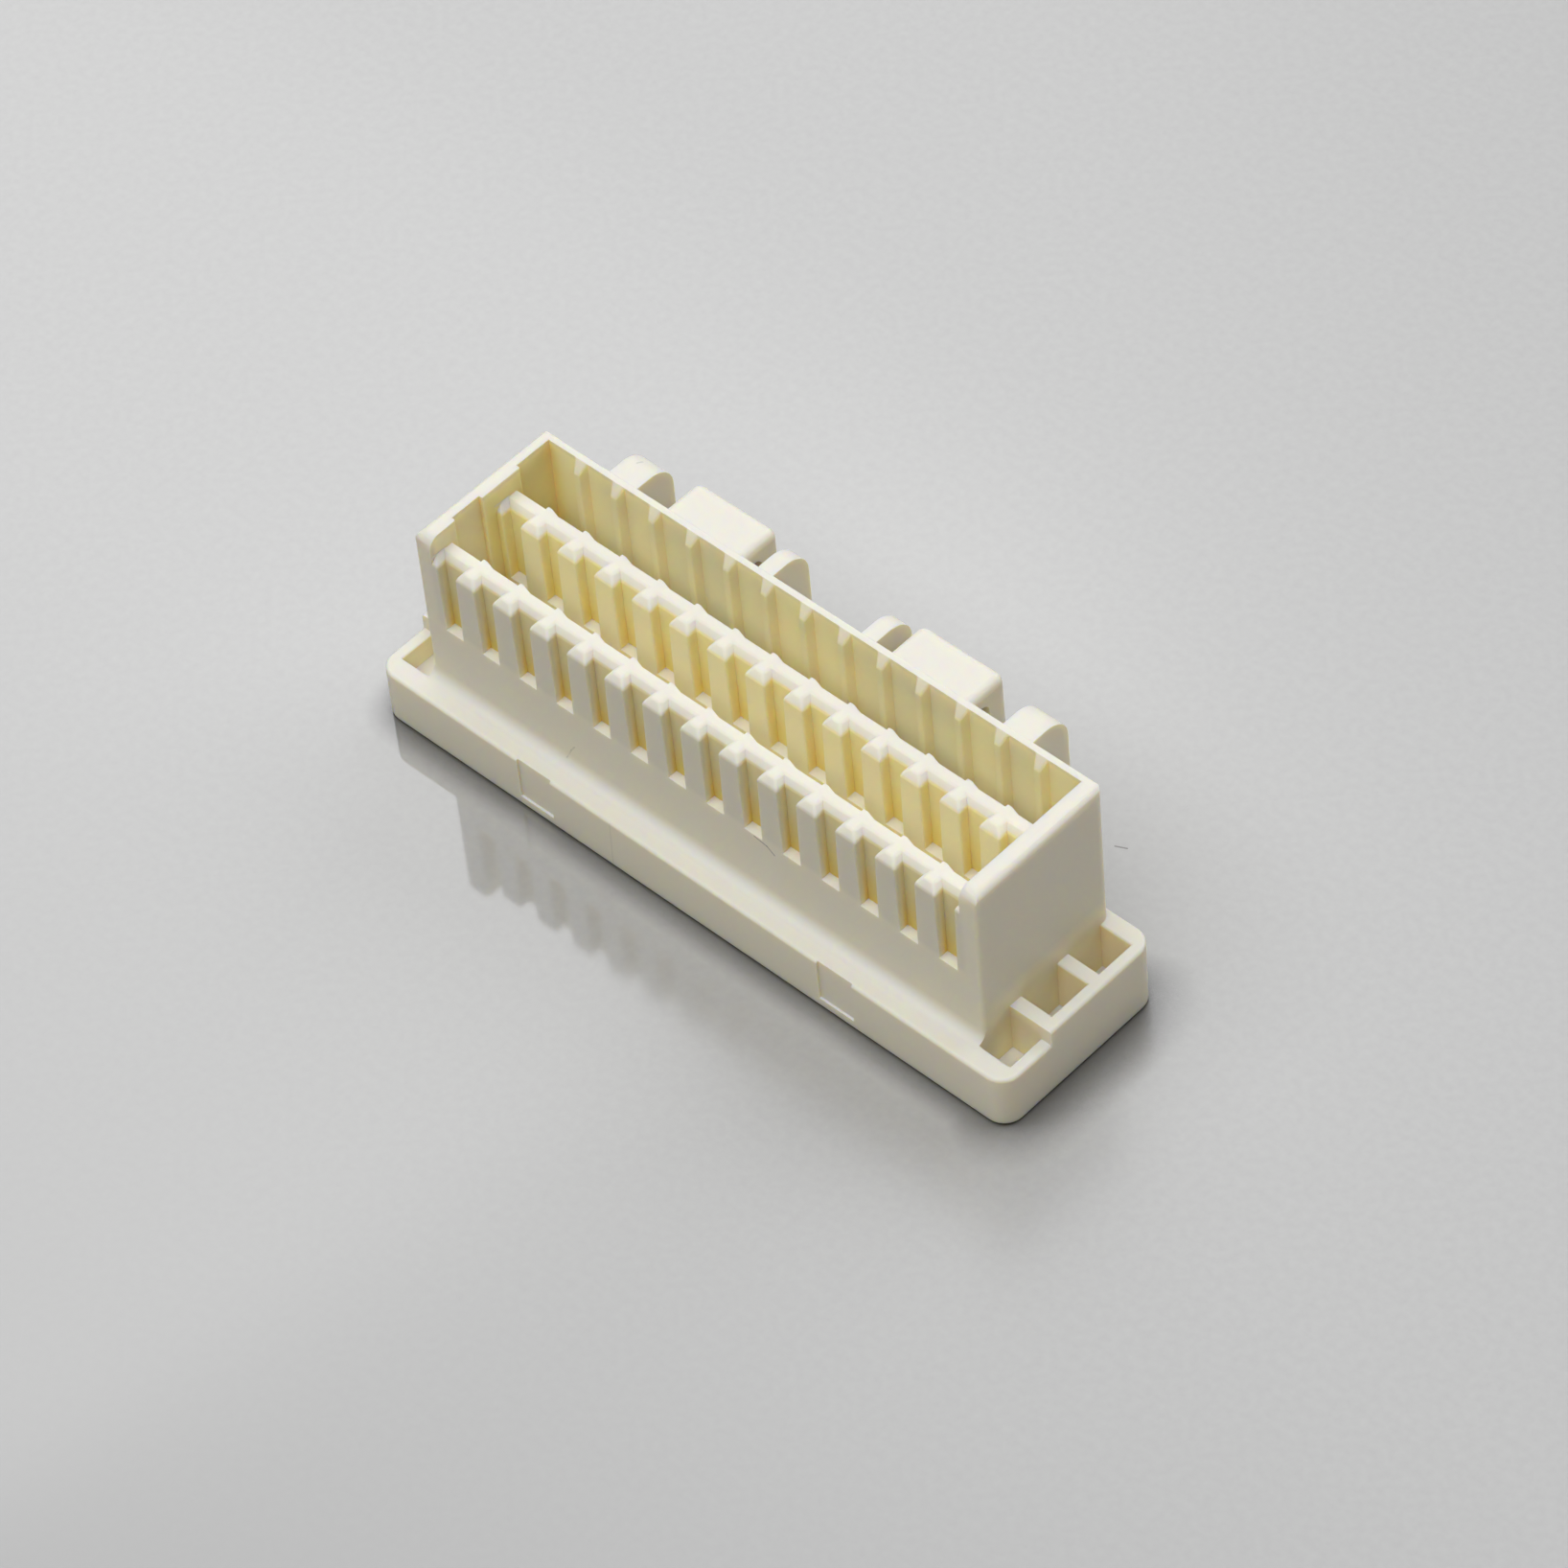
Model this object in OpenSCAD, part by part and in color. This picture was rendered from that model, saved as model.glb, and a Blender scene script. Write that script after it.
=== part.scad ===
// Double-row crimp housing of a wire-to-board connector, moulded in one piece.
// Frame: X along the rows, Y from the open front to the lock side, Z up from the mating face.
// The origin is the middle of the mating face, half-way between the two rows.

/* [Contacts] */
// Contact positions in each row
positions = 14; // [12:1:20]
// Distance between neighbouring positions
pitch = 2; // [1.8:0.05:2.5]
// Distance between the centre lines of the two rows
row_pitch = 3.6; // [3.4:0.05:4.4]
// Depth of a contact cavity from front to back
cavity_d = 2.1; // [1.6:0.05:2.3]
// Thickness of the walls between neighbouring cavities
partition_t = 0.46; // [0.3:0.02:0.6]
// Height of the walls between neighbouring cavities
partition_z = 5.6; // [4:0.1:5.8]
// Thickness of the mating floor under the cavities
floor_t = 1; // [0.6:0.05:1.4]
// Side of the square pin holes in the mating floor
pin_hole = 0.9; // [0.6:0.05:1.1]
// Lead-in chamfer at the mouth of a pin hole
pin_lead = 0.25; // [0.1:0.05:0.35]

/* [Body] */
// Height of the rim above the mating face
height = 10.8; // [9.5:0.1:12.5]
// How far the rim stands above the comb walls
rim_rise = 1; // [0.5:0.05:1.5]
// Distance from the outermost partition line to an end wall's outer face
end_margin = 0.63; // [0.5:0.01:0.9]
// Thickness of the end walls
end_wall_t = 0.86; // [0.74:0.02:1]
// Depth of the reliefs in the first end wall, beside its cavities
end_relief = 0.2; // [0.05:0.05:0.3]
// Width of that end wall's full-thickness lips before and behind a relief
end_lip = 0.3; // [0.1:0.05:0.5]
// Radius of the end walls' front top corner
end_corner_r = 0.6; // [0.2:0.05:0.9]
// Radius of the end walls' outer top edge
rim_r = 0.45; // [0.1:0.05:0.5]
// Radius of the back wall's outer top edge
back_rim_r = 0.15; // [0.05:0.05:0.2]
// Radius of the body's upright front corners
body_corner_r = 0.2; // [0.1:0.05:0.34]
// Radius of the body's upright back corners
back_corner_r = 0.5; // [0.1:0.05:0.6]
// Thickness of the back wall
back_wall_t = 0.35; // [0.25:0.05:0.8]
// Width of a back wall rib at its root
back_rib_w = 0.66; // [0.4:0.02:0.9]
// Width of a back wall rib at its crest
back_rib_crest = 0.3; // [0.1:0.02:0.38]
// How far the back wall ribs stand out
back_rib_d = 0.35; // [0.1:0.05:0.5]
// Fall of a back wall rib's sloping top
back_rib_fall = 0.5; // [0.2:0.05:0.9]
// Offset of the back wall ribs from the partition lines
back_rib_shift = -0.2; // [-0.4:0.05:0.4]

/* [Comb walls] */
// Thickness of a comb wall
comb_t = 1.2; // [0.9:0.05:1.3]
// Width of a post between two grooves
post_w = 1.06; // [0.8:0.02:1.2]
// Depth of the grooves
groove_d = 0.46; // [0.3:0.02:0.7]
// Height of the grooves' floor above the mating face
groove_z = 5.95; // [5.6:0.05:7.5]
// Lead-in chamfer of the posts and of the grooves' mouths
comb_chamfer = 0.3; // [0.1:0.05:0.35]
// How far the guide ribs behind the posts stand out
guide_d = 0.14; // [0.06:0.02:0.3]

/* [Nose] */
// Height of the nose along the front
nose_h = 2.65; // [1.8:0.05:3.2]
// How far the nose stands out in front of the body
nose_front = 1.24; // [0.8:0.02:1.8]
// How far the nose stands out past each end wall
nose_end = 2.06; // [1.4:0.02:2.6]
// How far the nose stands out behind the body
nose_back = 0.18; // [0.06:0.02:0.3]
// Radius of the nose's upright corners
nose_corner_r = 0.9; // [0.4:0.05:1.2]
// Radius of the nose's outer top and bottom edges
nose_edge_r = 0.15; // [0.05:0.01:0.3]
// Fillet between the nose's top and the body's front
nose_fillet = 0.6; // [0.2:0.05:0.7]
// How far the nose's ends rise above its front
end_rise = 0.75; // [0.3:0.05:1.2]
// Thickness of the pockets' outer wall at each end
pocket_wall_t = 0.55; // [0.4:0.01:0.8]
// Thickness of the nose's front wall at the front pocket
pocket_front_t = 0.92; // [0.6:0.02:1.2]
// Thickness of the nose's back wall at the back pocket
pocket_back_t = 0.83; // [0.5:0.01:1.1]
// Thickness of the ribs between the pockets
pocket_rib_t = 0.67; // [0.4:0.01:0.9]
// Length of the front pocket
front_pocket = 1.77; // [1.2:0.01:2.2]
// Length of the middle pocket
middle_pocket = 2; // [1.4:0.05:2.6]
// Thickness of the floor under the pockets
pocket_floor_t = 0.95; // [0.5:0.05:1.5]
// Distance of the front marks from the middle
mark_x = 8; // [4:0.1:11]
// Width of the sunk marks on the nose's front
mark_w = 1.8; // [1:0.1:3]
// Depth of the sunk marks on the nose's front
mark_d = 0.1; // [0.05:0.01:0.2]
// Height of the sunk marks' lower edge
mark_z = 0.5; // [0.3:0.05:1.2]

/* [Lock] */
// Distance of the lock arms' centre lines from the middle
arm_x = 5.88; // [5.2:0.02:7]
// Width of a lock arm
arm_w = 4.25; // [3:0.05:5]
// Thickness of a lock arm
arm_t = 1.02; // [0.7:0.02:1.3]
// Gap between a lock arm and the back wall
arm_gap = 0.88; // [0.6:0.02:1.1]
// Thickness of the bridge that carries a lock arm
bridge_t = 0.75; // [0.5:0.05:1]
// Drop of the lock arms' top below the rim
arm_drop = 0.05; // [0:0.05:0.4]
// Radius of the lock arms' upper edges
arm_r = 0.4; // [0.1:0.05:0.5]
// Height of the lock arms' free ends above the mating face
arm_z = 1.6; // [0.8:0.1:3]
// How far a lock catch stands out from its arm
catch_d = 0.4; // [0.2:0.05:0.6]
// Height of the lock catches' ledge above the mating face
catch_z = 3.8; // [3.4:0.1:5]
// Length of the flat land at the tip of a lock catch
catch_land = 0.3; // [0.1:0.05:0.6]
// How far the guards stand out from the back wall
guard_d = 1.95; // [1.4:0.05:2.3]
// Drop of the guards' top below the rim
guard_drop = 0.12; // [0:0.02:0.5]
// Radius of the guards' outer top corner
guard_r = 1.2; // [0.3:0.05:1.3]
// Lead-in chamfer at the guards' outer foot
guard_chamfer = 0.5; // [0.2:0.05:0.8]
// Width of the guards outside the lock arms
outer_guard_w = 1.5; // [0.8:0.05:2]
// Gap between a lock arm and the guard outside it
outer_guard_gap = 1.52; // [0.8:0.02:2]
// Width of the guards between the lock arms
inner_guard_w = 0.77; // [0.5:0.01:1.2]
// Gap between a lock arm and the guard inside it
inner_guard_gap = 0.68; // [0.4:0.02:1]

/* [Hidden] */
$fn = 48;
ivory = [0.93, 0.91, 0.82];
// How far a cut runs past the face that it opens, and an added rib into its wall
over = 0.05;
// Places along X of the contact positions and of the partitions between them
contact_xs = [for (i = [0 : positions - 1]) (i - (positions - 1) / 2) * pitch];
partition_xs = [for (i = [1 : positions - 1]) (i - positions / 2) * pitch];
// Half lengths of the body outside and inside its end walls, and of the nose
body_x = positions * pitch / 2 + end_margin;
inner_x = body_x - end_wall_t;
nose_x = body_x + nose_end;
// Front and back planes of the cavities, the comb walls and the body
row_ys = [-row_pitch / 2, row_pitch / 2];
comb_ys = [for (y = row_ys) y - cavity_d / 2 - comb_t];
body_y0 = comb_ys[0];
back_y = row_ys[1] + cavity_d / 2;
body_y1 = back_y + back_wall_t;
nose_y0 = body_y0 - nose_front;
nose_y1 = body_y1 + nose_back;
// Levels of the comb walls' top and of the nose's raised ends
comb_z = height - rim_rise;
end_z = nose_h + end_rise;
groove_w = pitch - post_w;
// Front and back planes of the three pockets at each end, and of the raised ends
front_pocket_y = [nose_y0 + pocket_front_t, nose_y0 + pocket_front_t + front_pocket];
raised_y = front_pocket_y[1];
middle_pocket_y = [raised_y + pocket_rib_t, raised_y + pocket_rib_t + middle_pocket];
back_pocket_y = [middle_pocket_y[1] + pocket_rib_t, nose_y1 - pocket_back_t];
// Planes and levels of the lock arms and guards
arm_y0 = body_y1 + arm_gap;
arm_y1 = arm_y0 + arm_t;
arm_top = height - arm_drop;
// How deep the arms and guards root in the back wall, below its rounded edge
root_y = body_y1 - back_rim_r - over;
guard_y = body_y1 + guard_d;
guard_top = height - guard_drop;
outer_guard_x = arm_x + arm_w / 2 + outer_guard_gap + outer_guard_w / 2;
inner_guard_x = arm_x - arm_w / 2 - inner_guard_gap - inner_guard_w / 2;

// A block between two planes on each axis
module block(x, y, z) {
  translate([x[0], y[0], z[0]]) cube([x[1] - x[0], y[1] - y[0], z[1] - z[0]]);
}

// A profile drawn in Y and Z, run along X
module along_x(x) {
  translate([x[0], 0, 0]) rotate([90, 0, 90]) linear_extrude(x[1] - x[0]) children();
}

// A profile drawn in X and Z, run along Y
module along_y(y) {
  translate([0, y[1], 0]) rotate([90, 0, 0]) linear_extrude(y[1] - y[0]) children();
}

module rectangle(x, y) {
  translate([x[0], y[0]]) square([x[1] - x[0], y[1] - y[0]]);
}

// What a rounded corner takes off: the corner lies at the origin, the solid below and left of it
module corner_cut(r) {
  difference() {
    translate([-r, -r]) square(r + over);
    translate([-r, -r]) circle(r);
  }
}

module rounded_rectangle(x, y, r) {
  rectangle([x[0] + r, x[1] - r], y);
  rectangle(x, [y[0] + r, y[1] - r]);
  for (px = [x[0] + r, x[1] - r], py = [y[0] + r, y[1] - r]) translate([px, py]) circle(r);
}

// A slab of height h with upright corners of radius r and outer edges of radius e
module rounded_slab(x, y, h, r, e) {
  along_x([x[0] + r, x[1] - r]) rounded_rectangle(y, [0, h], e);
  along_y([y[0] + r, y[1] - r]) rounded_rectangle(x, [0, h], e);
  for (turn = [0 : 3]) {
    px = turn == 0 || turn == 3 ? x[1] - r : x[0] + r;
    py = turn < 2 ? y[1] - r : y[0] + r;
    translate([px, py, 0]) rotate([0, 0, 90 * turn]) rotate_extrude(angle = 90)
      intersection() {
        rounded_rectangle([-r, r], [0, h], e);
        square([r, h]);
      }
  }
}

// Section of a fillet in the corner at the origin, left of it and above it
module fillet_section(r) {
  difference() {
    translate([-r, -over]) square(r + over);
    translate([-r, r]) circle(r);
  }
}

module both_ends() {
  children();
  mirror([1, 0, 0]) children();
}

// Section of a slot of width w above z0 whose mouth at z1 flares by c on each side
module flared_slot(w, z0, z1, c) {
  polygon([[-w / 2, z0], [w / 2, z0], [w / 2, z1 - c], [w / 2 + c + over, z1 + over],
           [-w / 2 - c - over, z1 + over], [-w / 2, z1 - c]]);
}

// Grooves in the front of the comb wall whose front face lies at y, with flared mouths
module grooves(y) {
  depth = groove_d + comb_chamfer;
  intersection() {
    along_y([y - over, y + depth + over])
      for (x = contact_xs) translate([x, 0]) flared_slot(groove_w, groove_z, comb_z, comb_chamfer);
    along_x([-body_x, body_x])
      translate([y, 0]) flared_slot(2 * groove_d, groove_z, comb_z, comb_chamfer);
  }
}

// Chamfer along the front top edge of the comb wall whose front face lies at y
module comb_edge_cut(y) {
  reach = comb_chamfer + over;
  along_x([-inner_x, inner_x])
    translate([y, comb_z]) polygon([[-over, -reach], [reach, over], [-over, over]]);
}

// Square pin holes of the row at y, each with a flared mouth in the mating face
module pin_holes(y) {
  depth = floor_t + over;
  intersection() {
    along_y([y - pitch, y + pitch])
      for (x = contact_xs) translate([x, 0]) mirror([0, 1]) flared_slot(pin_hole, -depth, 0, pin_lead);
    along_x([-body_x, body_x])
      translate([y, 0]) mirror([0, 1]) flared_slot(pin_hole, -depth, 0, pin_lead);
  }
}

// Contact cavities of the row at y, below the open trough
module cavities(y) {
  half_w = (pitch - partition_t) / 2;
  along_y([y - cavity_d / 2, y + cavity_d / 2])
    for (x = contact_xs) rectangle([x - half_w, x + half_w], [floor_t, partition_z + over]);
}

// Space above the cavities: a trough behind each comb wall, and reliefs in the first end wall
module troughs() {
  top = height + over;
  block([-inner_x, inner_x], [body_y0 - over, back_y], [comb_z, top]);
  block([-inner_x, inner_x], [comb_ys[0] + comb_t, comb_ys[1]], [partition_z, top]);
  block([-inner_x, inner_x], [comb_ys[1] + comb_t, back_y], [partition_z, top]);
  relief_x = inner_x + end_relief;
  front_relief_y = [row_ys[0] - cavity_d / 2 + end_lip, row_ys[0] + cavity_d / 2 - end_lip];
  back_relief_y = [row_ys[1] - cavity_d / 2 + end_lip, back_y];
  for (y = [front_relief_y, back_relief_y]) block([-relief_x, inner_x], y, [partition_z, top]);
}

// Guide ribs down the back of the comb wall whose front face lies at y, steep on one side only
module guide_ribs(y) {
  half_w = partition_t / 2;
  translate([0, y + comb_t, floor_t - over]) linear_extrude(comb_z - floor_t + over)
    for (x = partition_xs)
      translate([x, 0])
        polygon([[-half_w, -over], [-half_w, guide_d], [0, guide_d],
                 [2 * half_w, 0], [2 * half_w, -over]]);
}

// Wedge-shaped ribs down the inside of the back wall, with sloping tops
module back_ribs() {
  root = back_rib_w / 2;
  crest = back_rib_crest / 2;
  intersection() {
    translate([0, back_y, 0]) linear_extrude(height)
      for (x = partition_xs)
        translate([x + back_rib_shift, 0])
          polygon([[-root, over], [-root, 0], [-crest, -back_rib_d],
                   [crest, -back_rib_d], [root, 0], [root, over]]);
    along_x([-inner_x, inner_x])
      translate([back_y, 0])
        polygon([[over, floor_t - over], [over, height], [0, height],
                 [-back_rib_d, height - back_rib_fall], [-back_rib_d, floor_t - over]]);
  }
}

// The body: a block with rounded corners and a rounded rim
module body() {
  intersection() {
    linear_extrude(height) difference() {
      rectangle([-body_x, body_x], [body_y0, body_y1]);
      for (side = [0, 1]) mirror([side, 0]) {
        translate([body_x, body_y1]) corner_cut(back_corner_r);
        translate([body_x, body_y0]) mirror([0, 1]) corner_cut(body_corner_r);
      }
    }
    along_y([body_y0, body_y1]) difference() {
      rectangle([-body_x, body_x], [0, height]);
      translate([body_x, height]) corner_cut(rim_r);
      translate([-body_x, height]) mirror([1, 0]) corner_cut(rim_r);
    }
    along_x([-body_x, body_x]) difference() {
      rectangle([body_y0, body_y1], [0, height]);
      translate([body_y1, height]) corner_cut(back_rim_r);
      translate([body_y0, height]) mirror([1, 0]) corner_cut(end_corner_r);
    }
  }
}

// The nose: a low base with rounded edges, higher at its two ends
module nose() {
  outline = [[-nose_x, nose_x], [nose_y0, nose_y1]];
  rounded_slab(outline[0], outline[1], nose_h, nose_corner_r, nose_edge_r);
  intersection() {
    rounded_slab(outline[0], outline[1], end_z, nose_corner_r, nose_edge_r);
    both_ends() block([inner_x, nose_x + over], [raised_y, nose_y1 + over], [pocket_floor_t, end_z + over]);
  }
}

// Fillet between the nose's top and the body's front, carried round the body's corners
module front_fillet() {
  corner_x = body_x - body_corner_r;
  along_x([-corner_x, corner_x]) translate([body_y0, nose_h]) fillet_section(nose_fillet);
  both_ends()
    translate([corner_x, body_y0 + body_corner_r, nose_h]) rotate([0, 0, -90]) rotate_extrude(angle = 90)
      translate([body_corner_r, 0]) mirror([1, 0]) fillet_section(nose_fillet);
}

// Pockets between an end wall and the end of the nose
module end_pockets() {
  for (y = [front_pocket_y, middle_pocket_y, back_pocket_y])
    block([body_x, nose_x - pocket_wall_t], y, [pocket_floor_t, end_z + over]);
}

// Shallow sunk marks down the nose's front
module front_marks() {
  for (x = [-mark_x, mark_x])
    block([x - mark_w / 2, x + mark_w / 2], [nose_y0 - over, nose_y0 + mark_d], [mark_z, nose_h + over]);
}

// Section of a lock arm that hangs from a bridge at the top of the back wall, with its catch
module arm_section() {
  slot_r = arm_gap / 2;
  slot_top = arm_top - bridge_t - slot_r;
  difference() {
    rectangle([root_y, arm_y1], [arm_z, arm_top]);
    rectangle([root_y - over, arm_y0], [arm_z - over, slot_top]);
    translate([body_y1 + slot_r, slot_top]) circle(slot_r);
    translate([arm_y1, arm_top]) corner_cut(arm_r);
  }
  polygon([[arm_y1 - over, arm_z], [arm_y1, arm_z], [arm_y1 + catch_d, catch_z - catch_land],
           [arm_y1 + catch_d, catch_z], [arm_y1 - over, catch_z]]);
}

// A lock arm with rounded upper edges on both sides
module lock_arm() {
  side = [arm_x - arm_w / 2, arm_x + arm_w / 2];
  intersection() {
    along_x(side) arm_section();
    along_y([root_y, arm_y1 + catch_d]) difference() {
      rectangle(side, [arm_z, arm_top]);
      translate([side[1], arm_top]) corner_cut(arm_r);
      translate([side[0], arm_top]) mirror([1, 0]) corner_cut(arm_r);
    }
  }
}

// A guard rib of width w down the back wall, rounded at the top and chamfered at its foot
module guard(x, w) {
  along_x([x - w / 2, x + w / 2]) difference() {
    rectangle([root_y, guard_y], [0, guard_top]);
    translate([guard_y, guard_top]) corner_cut(guard_r);
    translate([guard_y, 0])
      polygon([[over, -over], [over, guard_chamfer + over], [-guard_chamfer - over, -over]]);
  }
}

module housing() {
  color(ivory) {
    difference() {
      union() {
        body();
        nose();
        front_fillet();
        both_ends() {
          lock_arm();
          guard(outer_guard_x, outer_guard_w);
          guard(inner_guard_x, inner_guard_w);
        }
      }
      troughs();
      for (y = row_ys) {
        cavities(y);
        pin_holes(y);
      }
      for (y = comb_ys) {
        grooves(y);
        comb_edge_cut(y);
      }
      both_ends() end_pockets();
      front_marks();
    }
    for (y = comb_ys) guide_ribs(y);
    back_ribs();
  }
}

housing();
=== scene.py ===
"""Portrait of the moulded ivory housing of a wire-to-board connector.

The housing is one piece of plastic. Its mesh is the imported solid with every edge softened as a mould
leaves it, and it stands on a pale satin board under softboxes in front and behind.
Lengths are in millimetres until MM turns them into metres, except the board's and the lamps', in metres.
"""

import math

import bmesh
import bpy
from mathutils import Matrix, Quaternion, Vector


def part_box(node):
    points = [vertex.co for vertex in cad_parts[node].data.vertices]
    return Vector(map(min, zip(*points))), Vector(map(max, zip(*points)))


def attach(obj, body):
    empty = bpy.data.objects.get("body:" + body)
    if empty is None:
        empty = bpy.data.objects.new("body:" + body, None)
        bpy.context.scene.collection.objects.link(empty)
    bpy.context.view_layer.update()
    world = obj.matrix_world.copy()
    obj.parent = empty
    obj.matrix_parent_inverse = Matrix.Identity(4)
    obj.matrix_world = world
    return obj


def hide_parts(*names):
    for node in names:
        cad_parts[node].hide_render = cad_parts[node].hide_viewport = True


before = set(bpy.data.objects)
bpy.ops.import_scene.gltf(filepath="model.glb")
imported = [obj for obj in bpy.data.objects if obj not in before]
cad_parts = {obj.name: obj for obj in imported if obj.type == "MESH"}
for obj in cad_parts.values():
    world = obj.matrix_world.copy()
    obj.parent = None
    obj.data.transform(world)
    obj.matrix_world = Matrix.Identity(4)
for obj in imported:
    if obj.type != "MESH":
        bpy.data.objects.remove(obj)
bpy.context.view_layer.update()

MM = 0.001

# The moulding's own levels and planes, for telling its edges and floors apart
BOX_LOW, BOX_HIGH = (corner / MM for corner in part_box("housing"))
GROOVE_FLOOR = 5.95
END_WALL = 14.63
BODY_FRONT = -4.05
BACK_WALL = 3.2
RIB_ROOT = 2.84
COMB_END = 13.8
MARK_FROM, MARK_TO = 7.0, 9.0
MARK_BEHIND = 0.2
FRONT_POCKET_BACK = -2.6
POCKET_FLOOR = 0.95
FAR_POCKET_FLOOR = 1.55
SAME_PLACE = 0.02
WALL_SLACK = 0.05

# The lock arms: their sides with the way that each faces, their back, the radius of their back corners,
# and the levels between which it runs out
ARM_SIDES = ((3.755, -1), (8.005, 1))
ARM_BACK = 5.1
ARM_ROUND = 0.4
ARM_STEPS = 5
RUN_OUT_LOW, RUN_OUT_HIGH = 4.4, 6.4

# How far edges are rounded, and how much of a narrow face a round may take
OUTER_ROUND = 0.1
INNER_ROUND = 0.04
PIN_HOLE_ROUND = 0.02
ROOM_SHARE = 0.4
ROUND_SEGMENTS = 3

# What parts a flat joint, a facet of a curve and a real edge
FLAT_ANGLE = math.radians(0.5)
EDGE_ANGLE = math.radians(50)
CHAMFER_ANGLE = math.radians(25)
BORDER_TURN = math.radians(35)
BORDER_STEPS = 12
ON_LINE = 0.002 * MM
MERGE_DISTANCE = 1e-7
SHORTEST_RUN = 1.0 * MM

# Spaces that get painted shade on their walls, the far pocket a painted glow: lowest corner, highest corner
# and width of the soft edge.
# X is the distance from the middle plane, except for the one pocket at the far end.
TROUGHS = ((-1.0, -3.9, 0.3), (14.3, 3.1, 10.75), 0.2)
TROUGH_ENDS = ((13.3, -1.2, 0.3), (14.3, 3.1, 10.75), 0.4)
FRONT_GROOVES = ((-1.0, -3.95, 5.0), (14.0, -3.25, 9.95), 0.3)
BACK_GROOVES = ((-1.0, -0.35, 5.0), (14.0, 0.35, 9.95), 0.3)
POSTS = ((-1.0, -4.4, 6.0), (14.0, -3.6, 10.4), 0.3)
POCKETS = ((13.9, -4.05, 0.3), (16.6, 3.3, 4.7), 0.7)
FAR_POCKET = ((-16.5, -4.8, 0.9), (-14.2, -2.2, 2.9), 0.7)
# How much of the recesses' painted shade the pockets by the ends take
POCKET_SHARE = 0.65

# How the plastic's painted shade follows the depth of a recess and the height in a groove, and its painted
# shade and light follow the slope of a face
RECESS_REACH = 1.0
AMBER_FROM = 0.15
GROOVE_PALE = 8.2
UPRIGHT_TO, LEVEL_FROM = 0.3, 0.7
SKY_SAMPLES = 4

# The plastic's gloss, how far each colour of light travels in it, and the clouds in its finish
PLASTIC_SPECULAR = 0.4
PLASTIC_SMOOTH, PLASTIC_ROUGH = 0.38, 0.5
LIGHT_TRAVEL = (1.0, 0.75, 0.2)
LIGHT_TRAVEL_UNIT = 0.5
CLOUD_SCALE = 350
CLOUD_DETAIL = 3

# Fine fibres, and a faint mould line on the nose: the points that each follows, its width, and its share
# of the line's colour
FIBRE_WIDTH = 0.05
MOULD_LINE_WIDTH = 0.06
HOUSING_LINES = (
    (((3.05, -4.05, 5.87), (3.69, -4.05, 5.76), (4.06, -4.05, 5.5)), FIBRE_WIDTH, 0.6),
    (((-7.21, -4.11, 3.0), (-6.97, -4.05, 3.53), (-6.74, -4.05, 3.89)), FIBRE_WIDTH, 0.25),
    (((-10.51, 4.23, 10.64), (-10.44, 4.47, 10.56)), FIBRE_WIDTH, 0.25),
    (((-3.82, -5.28, 2.56), (-3.9, -5.29, 0.1)), MOULD_LINE_WIDTH, 0.1),
)
BOARD_LINES = ((((10.49, 7.96, 0), (10.93, 8.17, 0)), FIBRE_WIDTH, 1.0),)
LINE_CORE = 0.4

# The board: half its side, the gap that keeps its face apart from the housing's, its finish, and where its
# painted shade towards the front is full
BOARD_HALF = 1.5
BOARD_GAP = 0.005
BOARD_IOR = 2.3
GRAIN_SCALE = 2500
POLISHED, SATIN = 0.06, 0.27
POLISHED_TO, SATIN_FROM = -8.0, 14.0
SATIN_BEHIND = 30.0
FRONT_EDGE = -50.0

# The painted contact shadow on the board close to the housing: how far it reaches along the front and past
# the near end, and how closed in a point is where it is full
CONTACT_REACH, END_REACH = 1.3, 2.4
SHADE_FULL = 0.5

# The camera: where it stands, what it looks at and how it leans
CAMERA_PLACE = Vector((132.88, -121.68, 209.086)) * MM
CAMERA_AIM = Vector((1.828, -1.126, 5.4)) * MM
CAMERA_ROLL = math.radians(-5.894)
CAMERA_LENS = 162.12
SENSOR_WIDTH = 36
CLIP_START, CLIP_END = 0.01, 10

SOFTBOX_DISTANCE = 0.7
ROOM_LIGHT = 0.02

# Colours, as linear light
IVORY = (0.81, 0.765, 0.62)
IVORY_WARM = (0.8, 0.75, 0.595)
# Painted shade for the comb posts' fronts
IVORY_POST_SHADE = (0.74, 0.7, 0.57)
# Painted light for level faces
IVORY_LEVEL_LIGHT = (0.84, 0.82, 0.745)
# Painted glow for the far pocket, and painted shade for the recesses, their ends, the grooves and the
# cracks, with lighter lit copies for the back grooves
IVORY_LIT = (0.99, 0.97, 0.62)
IVORY_RECESS_SHADE = (0.98, 0.885, 0.61)
IVORY_END_SHADE = (0.95, 0.87, 0.44)
HONEY_SHADE = (0.8, 0.72, 0.4)
HONEY_LIT = (0.97, 0.87, 0.48)
AMBER_SHADE = (0.83, 0.64, 0.16)
AMBER_LIT = (0.93, 0.77, 0.25)
BOARD = (0.425, 0.425, 0.425)
BOARD_GRAIN = (0.48, 0.48, 0.48)
# Painted shade towards the board's front edge, and a painted contact shadow
BOARD_FRONT_SHADE = (0.36, 0.36, 0.36)
CONTACT_SHADE = (0.01, 0.01, 0.01)
LINE_GREY = (0.16, 0.15, 0.14)
SOFT_WHITE = (1.0, 1.0, 1.0)


def near(a, b):
    return abs(a - b) < SAME_PLACE


def middle_of(edge):
    """The middle of an edge, in millimetres."""
    return (edge.verts[0].co + edge.verts[1].co) / 2 / MM


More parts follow.
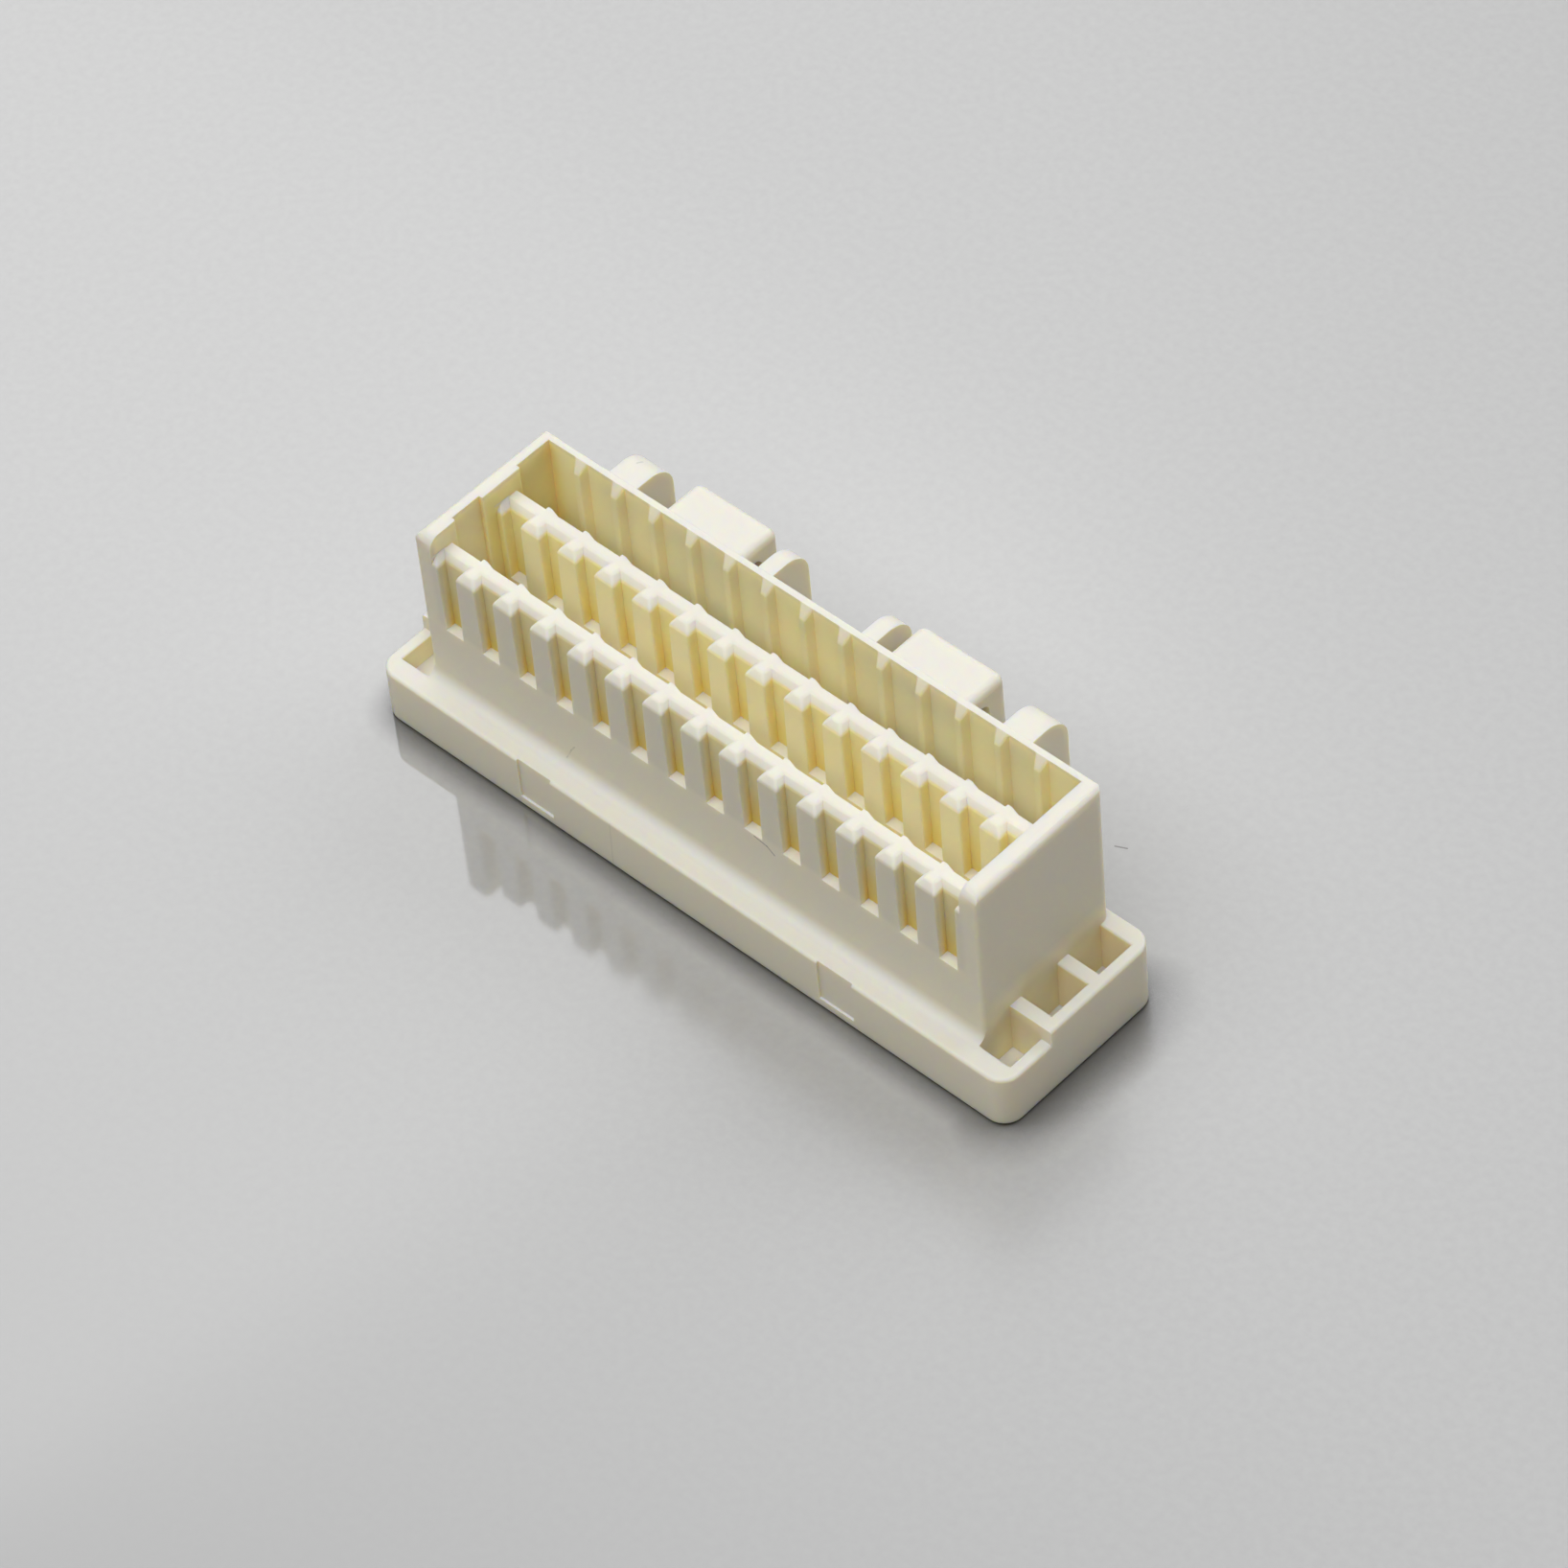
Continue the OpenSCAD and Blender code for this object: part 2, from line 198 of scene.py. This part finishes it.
def room_beside(corner):
    """Width of the face beside an edge, as far as its border runs on at either end without a turn."""
    origin = corner.vert.co
    line = (corner.link_loop_next.vert.co - origin).normalized()
    widths = []
    for onward in (True, False):
        width, heading, walker = 0, line, corner
        for _ in range(BORDER_STEPS):
            walker = walker.link_loop_next if onward else walker.link_loop_prev
            step = walker.link_loop_next.vert.co - walker.vert.co
            if width > ON_LINE and step.angle(heading, 0) > BORDER_TURN:
                break
            end = walker.link_loop_next.vert.co if onward else walker.vert.co
            width = max(width, (end - origin).cross(line).length)
            heading = step
        widths.append(width)
    return min(widths) / MM


def on_comb(edge):
    """Whether an edge lies on the comb walls or the back wall's ribs, which have sloping faces."""
    place = middle_of(edge)
    return abs(place.x) < COMB_END and place.z > GROOVE_FLOOR and place.y < RIB_ROOT


def on_mark(edge):
    """Whether an edge borders the shallow sunk marks on the nose's front, which are crisp."""
    place = middle_of(edge)
    return place.y < BOX_LOW.y + MARK_BEHIND and MARK_FROM < abs(place.x) < MARK_TO


def is_real_edge(edge):
    """Whether an edge is an outer corner of the moulding that is rounded, and not a facet of a curve."""
    angle = CHAMFER_ANGLE if on_comb(edge) else EDGE_ANGLE
    return edge.calc_face_angle_signed(0) > angle and not on_mark(edge)


def edge_round(edge):
    """How far one edge of the moulding is rounded, in millimetres, from where it lies."""
    place = middle_of(edge)
    across = BODY_FRONT - WALL_SLACK <= place.y <= BACK_WALL + WALL_SLACK
    if abs(place.x) > END_WALL - WALL_SLACK or not across or place.z > GROOVE_FLOOR - WALL_SLACK:
        widest = OUTER_ROUND
    else:
        widest = PIN_HOLE_ROUND if near(place.z, BOX_LOW.z) else INNER_ROUND
    return min(widest, ROOM_SHARE * min(room_beside(corner) for corner in edge.link_loops))


def edge_runs(edges):
    """Edges gathered into runs that go on without a turn, because a run is rounded evenly."""
    waiting = set(edges)
    runs = []
    while waiting:
        run, reached = [], [waiting.pop()]
        while reached:
            edge = reached.pop()
            run.append(edge)
            for vert in edge.verts:
                ahead = vert.co - edge.other_vert(vert).co
                for other in vert.link_edges:
                    onward = other.other_vert(vert).co - vert.co
                    if other in waiting and onward.angle(ahead, 0) < BORDER_TURN:
                        waiting.remove(other)
                        reached.append(other)
        runs.append(run)
    return runs


def raise_far_pocket(shape):
    """Lifts the floor of the front pocket at the far end, which is shallower than the other pockets."""
    for vert in shape.verts:
        place = vert.co / MM
        at_end = place.x < -END_WALL + SAME_PLACE and place.y < FRONT_POCKET_BACK + SAME_PLACE
        if at_end and near(place.z, POCKET_FLOOR):
            vert.co.z = FAR_POCKET_FLOOR * MM


def cut_arm(shape, place, across):
    """Cuts a lock arm's faces along a plane, so that its corners have points to round."""
    low, high = ARM_SIDES[0][0] - SAME_PLACE, ARM_SIDES[1][0] + SAME_PLACE
    faces = [face for face in shape.faces
             if max(vert.co.z for vert in face.verts) > RUN_OUT_LOW * MM
             and all(low < abs(vert.co.x / MM) < high and vert.co.y / MM > RIB_ROOT for vert in face.verts)]
    edges = {edge for face in faces for edge in face.edges}
    verts = {vert for face in faces for vert in face.verts}
    bmesh.ops.bisect_plane(shape, geom=[*verts, *edges, *faces], dist=MERGE_DISTANCE,
                           plane_co=Vector(place) * MM, plane_no=across)


def round_arm_corners(shape):
    """Rounds the lock arms' back corners in plan, to a ball at the top, and runs out above the catch."""
    for step in range(ARM_STEPS):
        share = step / ARM_STEPS
        inward = ARM_ROUND * (1 - share)
        cut_arm(shape, (0, ARM_BACK - inward, 0), (0, 1, 0))
        cut_arm(shape, (0, 0, RUN_OUT_LOW + (RUN_OUT_HIGH - RUN_OUT_LOW) * share), (0, 0, 1))
        for side, out in ARM_SIDES:
            for turn in (-1, 1):
                cut_arm(shape, (turn * (side - out * inward), 0, 0), (1, 0, 0))
    for vert in shape.verts:
        place = vert.co / MM
        fade = min(max((place.z - RUN_OUT_LOW) / (RUN_OUT_HIGH - RUN_OUT_LOW), 0), 1)
        for side, out in ARM_SIDES:
            u, v = out * (abs(place.x) - side) + ARM_ROUND, place.y - ARM_BACK + ARM_ROUND
            if 0 < u < ARM_ROUND + SAME_PLACE and 0 < v < ARM_ROUND + SAME_PLACE:
                pull = (1 - max(u, v) / math.hypot(u, v)) * fade
                vert.co.x -= math.copysign(1, place.x) * out * u * pull * MM
                vert.co.y -= v * pull * MM


def moulded_shape(node):
    """A copy of the node's triangles as one closed mesh of flat faces, its edges weighed for rounding."""
    mesh = bpy.data.meshes.new("housing_shape")
    shape = bmesh.new()
    shape.from_mesh(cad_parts[node].data)
    bmesh.ops.remove_doubles(shape, verts=shape.verts, dist=MERGE_DISTANCE)
    bmesh.ops.dissolve_limit(shape, angle_limit=FLAT_ANGLE, verts=shape.verts, edges=shape.edges)
    raise_far_pocket(shape)
    round_arm_corners(shape)
    weight = shape.edges.layers.float.new("bevel_weight_edge")
    for run in edge_runs([edge for edge in shape.edges if is_real_edge(edge)]):
        if on_comb(run[0]) or sum(edge.calc_length() for edge in run) > SHORTEST_RUN:
            width = min(edge_round(edge) for edge in run)
            for edge in run:
                edge[weight] = width / OUTER_ROUND
    for face in shape.faces:
        face.smooth = True
    shape.to_mesh(mesh)
    shape.free()
    return mesh


def even_shading(mesh):
    """Points each face corner along the mean of the faces round it that turn little, by their area."""
    faces_at = [[] for _ in mesh.vertices]
    for face in mesh.polygons:
        for vertex in face.vertices:
            faces_at[vertex].append((face.normal.copy(), face.area))
    directions = []
    for face in mesh.polygons:
        own = face.normal.copy()
        for vertex in face.vertices:
            level = [normal * area for normal, area in faces_at[vertex] if own.angle(normal, 0) < EDGE_ANGLE]
            directions.append(sum(level, Vector()).normalized())
    mesh.normals_split_custom_set(directions)


def soften_edges(piece):
    """Rounds the weighed edges, evens the shading and keeps the result as the piece's own mesh."""
    bevel = piece.modifiers.new("softened edges", "BEVEL")
    bevel.limit_method = "WEIGHT"
    bevel.width = OUTER_ROUND * MM
    bevel.segments = ROUND_SEGMENTS
    bevel.use_clamp_overlap = False
    evaluated = piece.evaluated_get(bpy.context.evaluated_depsgraph_get())
    softened = bpy.data.meshes.new_from_object(evaluated)
    piece.modifiers.clear()
    even_shading(softened)
    piece.data = softened


def join(tree, socket, source):
    """Feeds a socket from another node's output, or sets it where the source is a plain value."""
    if isinstance(source, bpy.types.NodeSocket):
        tree.links.new(source, socket)
    else:
        socket.default_value = source


def vector_step(tree, operation, first, second, result="Vector"):
    """One step of arithmetic on two vectors."""
    step = tree.nodes.new("ShaderNodeVectorMath")
    step.operation = operation
    join(tree, step.inputs[0], first)
    join(tree, step.inputs[1], second)
    return step.outputs[result]


def value_step(tree, operation, first, second=0.0):
    """One step of arithmetic on two numbers."""
    step = tree.nodes.new("ShaderNodeMath")
    step.operation = operation
    join(tree, step.inputs[0], first)
    join(tree, step.inputs[1], second)
    return step.outputs["Value"]


def axes_of(tree, vector):
    """The X, Y and Z of a vector."""
    step = tree.nodes.new("ShaderNodeSeparateXYZ")
    tree.links.new(vector, step.inputs["Vector"])
    return step.outputs


def ramp(tree, value, start, end, low=0.0, high=1.0, course="LINEAR"):
    """A value carried over from start..end to low..high."""
    step = tree.nodes.new("ShaderNodeMapRange")
    step.interpolation_type = course
    join(tree, step.inputs["Value"], value)
    for name, number in (("From Min", start), ("From Max", end), ("To Min", low), ("To Max", high)):
        step.inputs[name].default_value = number
    return step.outputs["Result"]


def blend(tree, share, first, second):
    """Two colours mixed by a share of the second."""
    step = tree.nodes.new("ShaderNodeMix")
    step.data_type = "RGBA"
    join(tree, step.inputs["Factor"], share)
    for name, colour in (("A", first), ("B", second)):
        join(tree, step.inputs[name], colour if isinstance(colour, bpy.types.NodeSocket) else (*colour, 1))
    return step.outputs["Result"]


def closeness(tree, reach, own_shape):
    """How much of the sky over a point is taken up by surfaces within reach: 0 in the open, 1 in a crack."""
    sky = tree.nodes.new("ShaderNodeAmbientOcclusion")
    sky.samples = SKY_SAMPLES
    sky.only_local = own_shape
    join(tree, sky.inputs["Distance"], reach)
    return value_step(tree, "SUBTRACT", 1.0, sky.outputs["AO"])


def mask_group(name, first, second, width):
    """An empty node group that makes a mask from a place, two points and a width, and what it is given."""
    group = bpy.data.node_groups.new(name, "ShaderNodeTree")
    for point in ("Place", first, second):
        group.interface.new_socket(point, in_out="INPUT", socket_type="NodeSocketVector")
    group.interface.new_socket(width, in_out="INPUT", socket_type="NodeSocketFloat")
    group.interface.new_socket("Mask", in_out="OUTPUT", socket_type="NodeSocketFloat")
    return group, group.nodes.new("NodeGroupInput").outputs


def space_mask():
    """Node group: 1 inside an upright box and 0 outside it, with a soft edge of the given width."""
    group, given = mask_group("space_mask", "Low", "High", "Edge")
    sides = []
    for upper, lower in (("Place", "Low"), ("High", "Place")):
        reach = vector_step(group, "SUBTRACT", given[upper], given[lower])
        share = vector_step(group, "DIVIDE", reach, given["Edge"])
        floor = vector_step(group, "MAXIMUM", share, (0, 0, 0))
        sides.append(vector_step(group, "MINIMUM", floor, (1, 1, 1)))
    both = axes_of(group, vector_step(group, "MULTIPLY", *sides))
    level = value_step(group, "MULTIPLY", both["X"], both["Y"])
    mask = value_step(group, "MULTIPLY", level, both["Z"])
    group.links.new(mask, group.nodes.new("NodeGroupOutput").inputs["Mask"])
    return group


def line_mask():
    """Node group: 1 on a straight line from one point to another and 0 beside it."""
    group, given = mask_group("line_mask", "Start", "End", "Width")
    line = vector_step(group, "SUBTRACT", given["End"], given["Start"])
    reach = vector_step(group, "SUBTRACT", given["Place"], given["Start"])
    along = vector_step(group, "DOT_PRODUCT", reach, line, "Value")
    share = value_step(group, "DIVIDE", along, vector_step(group, "DOT_PRODUCT", line, line, "Value"))
    foot = vector_step(group, "MULTIPLY", line, ramp(group, share, 0, 1))
    away = value_step(group, "DIVIDE", vector_step(group, "DISTANCE", reach, foot, "Value"), given["Width"])
    mask = ramp(group, away, LINE_CORE, 1, 1, 0)
    group.links.new(mask, group.nodes.new("NodeGroupOutput").inputs["Mask"])
    return group


def masked(tree, group, place, first, second, width):
    """A mask from one of the groups above, with its points and width in millimetres."""
    node = tree.nodes.new("ShaderNodeGroup")
    node.node_tree = group
    tree.links.new(place, node.inputs[0])
    node.inputs[1].default_value = Vector(first) * MM
    node.inputs[2].default_value = Vector(second) * MM
    node.inputs[3].default_value = width * MM
    return node.outputs["Mask"]


def with_lines(tree, lines, place, tone, drawn):
    """A tone with fine grey lines drawn over it, each straight from point to point."""
    for points, width, share in drawn:
        for start, end in zip(points, points[1:]):
            line = masked(tree, lines, place, start, end, width)
            tone = blend(tree, value_step(tree, "MULTIPLY", line, share), tone, LINE_GREY)
    return tone


def folded_place(tree, axes):
    """A place measured from the middle plane, for the masks, because both ends are alike."""
    folded = tree.nodes.new("ShaderNodeCombineXYZ")
    tree.links.new(value_step(tree, "ABSOLUTE", axes["X"]), folded.inputs["X"])
    tree.links.new(axes["Y"], folded.inputs["Y"])
    tree.links.new(axes["Z"], folded.inputs["Z"])
    return folded.outputs["Vector"]


def painted_recess_shade(tree, spaces, folded, height, far_pocket):
    """Painted shade on upright walls in the recesses: deeper at the ends, in cracks and down the grooves,
    lighter in the back grooves, with a painted glow in the far pocket.
    """
    ends = masked(tree, spaces, folded, *TROUGH_ENDS)
    inside = blend(tree, ends, IVORY_RECESS_SHADE, IVORY_END_SHADE)
    depth = closeness(tree, RECESS_REACH * MM, True)
    # Painted shade: deeper amber where a point is closed in
    inside = blend(tree, ramp(tree, depth, AMBER_FROM, 1.0), inside, AMBER_SHADE)
    # Painted shade down the grooves, deeper towards their floors; the back grooves take lighter lit copies
    groove_depth = ramp(tree, height, GROOVE_PALE * MM, GROOVE_FLOOR * MM)
    for grooves, pale, deep in ((FRONT_GROOVES, HONEY_SHADE, AMBER_SHADE), (BACK_GROOVES, HONEY_LIT, AMBER_LIT)):
        groove = blend(tree, groove_depth, pale, deep)
        inside = blend(tree, masked(tree, spaces, folded, *grooves), inside, groove)
    # Painted glow: the far pocket's walls are paler and yellower
    return blend(tree, far_pocket, inside, IVORY_LIT)


def ivory_plastic(spaces, lines):
    """Moulded ivory plastic: satin and translucent, with painted shade in its recesses and on its posts'
    fronts, painted light on level faces and a painted glow in the far pocket.
    """
    material = bpy.data.materials.new("ivory_plastic")
    material.use_nodes = True
    tree = material.node_tree
    shader = tree.nodes["Principled BSDF"]
    shader.inputs["Specular IOR Level"].default_value = PLASTIC_SPECULAR
    shader.inputs["Subsurface Weight"].default_value = 1.0
    shader.inputs["Subsurface Radius"].default_value = LIGHT_TRAVEL
    shader.inputs["Subsurface Scale"].default_value = LIGHT_TRAVEL_UNIT * MM
    surface = tree.nodes.new("ShaderNodeTexCoord")
    place = surface.outputs["Object"]
    clouds = tree.nodes.new("ShaderNodeTexNoise")
    clouds.inputs["Scale"].default_value = CLOUD_SCALE
    clouds.inputs["Detail"].default_value = CLOUD_DETAIL
    tree.links.new(place, clouds.inputs["Vector"])
    axes = axes_of(tree, place)
    folded = folded_place(tree, axes)
    level = ramp(tree, axes_of(tree, surface.outputs["Normal"])["Z"], UPRIGHT_TO, LEVEL_FROM)
    upright = value_step(tree, "SUBTRACT", 1.0, level)
    skin = blend(tree, clouds.outputs["Fac"], IVORY, IVORY_WARM)
    # Painted shade: the comb posts' fronts are darker
    skin = blend(tree, masked(tree, spaces, folded, *POSTS), skin, IVORY_POST_SHADE)
    # Painted light: level faces are paler
    skin = blend(tree, level, skin, IVORY_LEVEL_LIGHT)
    # Painted shade in the troughs and the pockets by the ends, and a painted glow in the far pocket
    pockets = value_step(tree, "MULTIPLY", masked(tree, spaces, folded, *POCKETS), POCKET_SHARE)
    recess = value_step(tree, "MAXIMUM", masked(tree, spaces, folded, *TROUGHS), pockets)
    far_pocket = masked(tree, spaces, place, *FAR_POCKET)
    recess = value_step(tree, "MAXIMUM", recess, far_pocket)
    inside = painted_recess_shade(tree, spaces, folded, axes["Z"], far_pocket)
    # The recesses' painted shade and glow go on upright walls only
    tone = blend(tree, value_step(tree, "MULTIPLY", recess, upright), skin, inside)
    tone = with_lines(tree, lines, place, tone, HOUSING_LINES)
    tree.links.new(tone, shader.inputs["Base Color"])
    finish = ramp(tree, clouds.outputs["Fac"], 0, 1, PLASTIC_SMOOTH, PLASTIC_ROUGH)
    tree.links.new(finish, shader.inputs["Roughness"])
    return material


def satin_board(lines):
    """The pale board under the housing, smooth enough to mirror it, with painted shade towards its front
    edge and a painted contact shadow close to the housing.
    """
    material = bpy.data.materials.new("satin_board")
    material.use_nodes = True
    tree = material.node_tree
    shader = tree.nodes["Principled BSDF"]
    shader.inputs["IOR"].default_value = BOARD_IOR
    place = tree.nodes.new("ShaderNodeTexCoord").outputs["Object"]
    axes = axes_of(tree, place)
    grain = tree.nodes.new("ShaderNodeTexNoise")
    grain.inputs["Scale"].default_value = GRAIN_SCALE
    tree.links.new(place, grain.inputs["Vector"])
    tone = blend(tree, grain.outputs["Fac"], BOARD, BOARD_GRAIN)
    # Painted shade: the board darkens towards its front edge
    tone = blend(tree, ramp(tree, axes["Y"], BOX_LOW.y * MM, FRONT_EDGE * MM), tone, BOARD_FRONT_SHADE)
    tone = with_lines(tree, lines, place, tone, BOARD_LINES)
    # Painted contact shadow: darker where the board is closed in by the housing, reaching further past the
    # near end
    reach = ramp(tree, axes["X"], END_WALL * MM, BOX_HIGH.x * MM, CONTACT_REACH * MM, END_REACH * MM)
    shade = ramp(tree, closeness(tree, reach, False), 0, SHADE_FULL)
    tree.links.new(blend(tree, shade, tone, CONTACT_SHADE), shader.inputs["Base Color"])
    left = ramp(tree, axes["X"], POLISHED_TO * MM, SATIN_FROM * MM, 1, 0, "SMOOTHERSTEP")
    front = ramp(tree, axes["Y"], BACK_WALL * MM, SATIN_BEHIND * MM, 1, 0, "SMOOTHERSTEP")
    polish = value_step(tree, "MULTIPLY", left, front)
    tree.links.new(ramp(tree, polish, 0, 1, SATIN, POLISHED), shader.inputs["Roughness"])
    return material


def make_housing(spaces, lines):
    """The whole housing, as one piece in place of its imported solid."""
    mesh = moulded_shape("housing")
    mesh.materials.append(ivory_plastic(spaces, lines))
    housing = bpy.data.objects.new("moulded_housing", mesh)
    bpy.context.scene.collection.objects.link(housing)
    soften_edges(housing)
    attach(housing, "root")
    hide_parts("housing")


def make_floor(lines):
    """The board that the housing stands on, which isn't part of it."""
    mesh = bpy.data.meshes.new("board")
    turns = ((-1, -1), (1, -1), (1, 1), (-1, 1))
    corners = [(BOARD_HALF * x, BOARD_HALF * y, -BOARD_GAP * MM) for x, y in turns]
    mesh.from_pydata(corners, [], [range(len(corners))])
    mesh.materials.append(satin_board(lines))
    floor = bpy.data.objects.new("board", mesh)
    bpy.context.scene.collection.objects.link(floor)


def softbox(name, turn, rise, width, height, radiance):
    """A rectangular lamp that faces the housing, placed by its turn round it and its rise above the board.

    A radiance of 1 is as bright as white paper in full light.
    """
    lamp = bpy.data.lights.new(name, "AREA")
    lamp.shape = "RECTANGLE"
    lamp.size = width
    lamp.size_y = height
    lamp.energy = math.pi * width * height * radiance
    lamp.color = SOFT_WHITE
    turn, rise = math.radians(turn), math.radians(rise)
    out = Vector((math.cos(rise) * math.cos(turn), math.cos(rise) * math.sin(turn), math.sin(rise)))
    box = bpy.data.objects.new(name, lamp)
    box.location = CAMERA_AIM + out * SOFTBOX_DISTANCE
    box.rotation_mode = "QUATERNION"
    box.rotation_quaternion = (-out).to_track_quat("-Z", "Y")
    box.visible_camera = False
    bpy.context.scene.collection.objects.link(box)


def make_light():
    """Softboxes in front and behind, the paler light of a room beside them, and a dim surround."""
    softbox("front softbox", turn=270, rise=66, width=1.0, height=0.45, radiance=3.3)
    softbox("back softbox", turn=80, rise=34, width=0.6, height=0.5, radiance=2.33)
    softbox("pale wall", turn=137, rise=47, width=0.66, height=0.6, radiance=0.9)
    softbox("window", turn=150, rise=43, width=0.4, height=0.3, radiance=0.69)
    world = bpy.data.worlds.new("room")
    world.use_nodes = True
    room = world.node_tree.nodes["Background"]
    room.inputs["Color"].default_value = (*SOFT_WHITE, 1)
    room.inputs["Strength"].default_value = ROOM_LIGHT
    bpy.context.scene.world = world


def make_camera():
    """The camera at the portrait's viewing angle."""
    camera = bpy.data.objects.new("camera", bpy.data.cameras.new("camera"))
    camera.data.lens = CAMERA_LENS
    camera.data.sensor_width = SENSOR_WIDTH
    camera.data.clip_start = CLIP_START
    camera.data.clip_end = CLIP_END
    camera.location = CAMERA_PLACE
    camera.rotation_mode = "QUATERNION"
    level = (CAMERA_AIM - CAMERA_PLACE).to_track_quat("-Z", "Y")
    camera.rotation_quaternion = level @ Quaternion((0, 0, 1), CAMERA_ROLL)
    bpy.context.scene.collection.objects.link(camera)
    bpy.context.scene.camera = camera


space_masks, line_masks = space_mask(), line_mask()
make_camera()
make_housing(space_masks, line_masks)
make_floor(line_masks)
make_light()
bpy.context.scene.view_settings.view_transform = "Standard"
